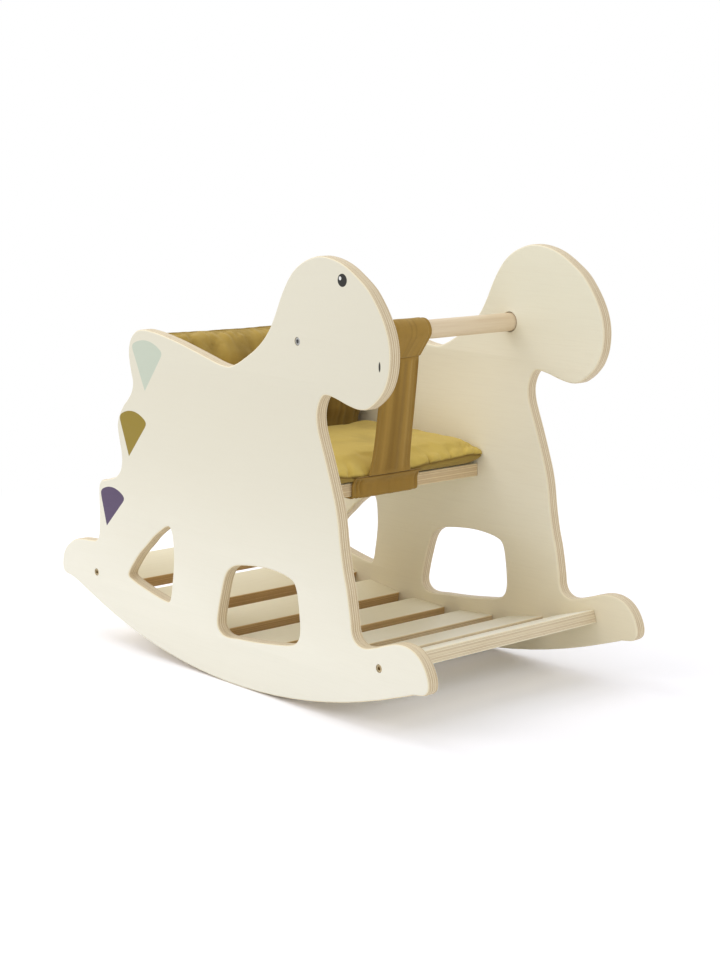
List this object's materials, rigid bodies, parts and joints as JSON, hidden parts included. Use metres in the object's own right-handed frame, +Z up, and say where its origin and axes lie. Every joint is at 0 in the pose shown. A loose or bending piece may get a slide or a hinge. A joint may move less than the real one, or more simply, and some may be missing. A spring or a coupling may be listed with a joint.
{
  "type": "rocking dinosaur",
  "caption": "Toddler's plywood rocking dinosaur with shaped side panels, a slatted floor, a padded seat, a handlebar and a leg strap.",
  "frame": {"origin": "on the floor under the middle of the toy's box", "axes": "+X where the dinosaur looks, +Y to its left, +Z up"},
  "size_m": [0.657, 0.328, 0.4808],
  "materials": {
    "panel_ply": "pale birch plywood, clear matt varnish, layers showing on the rims",
    "board_ply": "birch plywood, clear matt varnish, layers showing on the edges",
    "dowel_wood": "sanded hardwood, clear matt varnish",
    "cloth": "mustard woven cotton, matt",
    "slat_screw": "yellow passivated steel",
    "bar_screw": "plain steel",
    "insert_brass": "turned brass"
  },
  "bodies": {
    "root": {"back_cushion": "cloth", "backrest_board": "board_ply", "backrest_lower_pin_left": "dowel_wood", "backrest_lower_pin_right": "dowel_wood", "backrest_upper_pin_left": "dowel_wood", "backrest_upper_pin_right": "dowel_wood", "floor_slat_1": "board_ply", "floor_slat_2": "board_ply", "floor_slat_3": "board_ply", "floor_slat_4": "board_ply", "floor_slat_5": "board_ply", "floor_slat_6": "board_ply", "floor_slat_7": "board_ply", "front_slat_screw_left": "slat_screw", "front_slat_screw_right": "slat_screw", "handlebar": "dowel_wood", "handlebar_insert_left": "insert_brass", "handlebar_insert_right": "insert_brass", "handlebar_screw_left": "bar_screw", "handlebar_screw_right": "bar_screw", "left_side_panel": "panel_ply", "leg_strap": "cloth", "rear_slat_screw_left": "slat_screw", "rear_slat_screw_right": "slat_screw", "right_side_panel": "panel_ply", "seat_board": "board_ply", "seat_cushion": "cloth", "seat_front_pin_left": "dowel_wood", "seat_front_pin_right": "dowel_wood", "seat_rear_pin_left": "dowel_wood", "seat_rear_pin_right": "dowel_wood", "slat_1_rear_pin_left": "dowel_wood", "slat_1_rear_pin_right": "dowel_wood", "slat_2_front_pin_left": "dowel_wood", "slat_2_front_pin_right": "dowel_wood", "slat_2_rear_pin_left": "dowel_wood", "slat_2_rear_pin_right": "dowel_wood", "slat_3_front_pin_left": "dowel_wood", "slat_3_front_pin_right": "dowel_wood", "slat_3_rear_pin_left": "dowel_wood", "slat_3_rear_pin_right": "dowel_wood", "slat_4_front_pin_left": "dowel_wood", "slat_4_front_pin_right": "dowel_wood", "slat_4_rear_pin_left": "dowel_wood", "slat_4_rear_pin_right": "dowel_wood", "slat_5_front_pin_left": "dowel_wood", "slat_5_front_pin_right": "dowel_wood", "slat_5_rear_pin_left": "dowel_wood", "slat_5_rear_pin_right": "dowel_wood", "slat_6_front_pin_left": "dowel_wood", "slat_6_front_pin_right": "dowel_wood", "slat_6_rear_pin_left": "dowel_wood", "slat_6_rear_pin_right": "dowel_wood", "slat_7_front_pin_left": "dowel_wood", "slat_7_front_pin_right": "dowel_wood", "strap_sleeve": "cloth", "strap_tab": "cloth"}
  },
  "joints": []
}
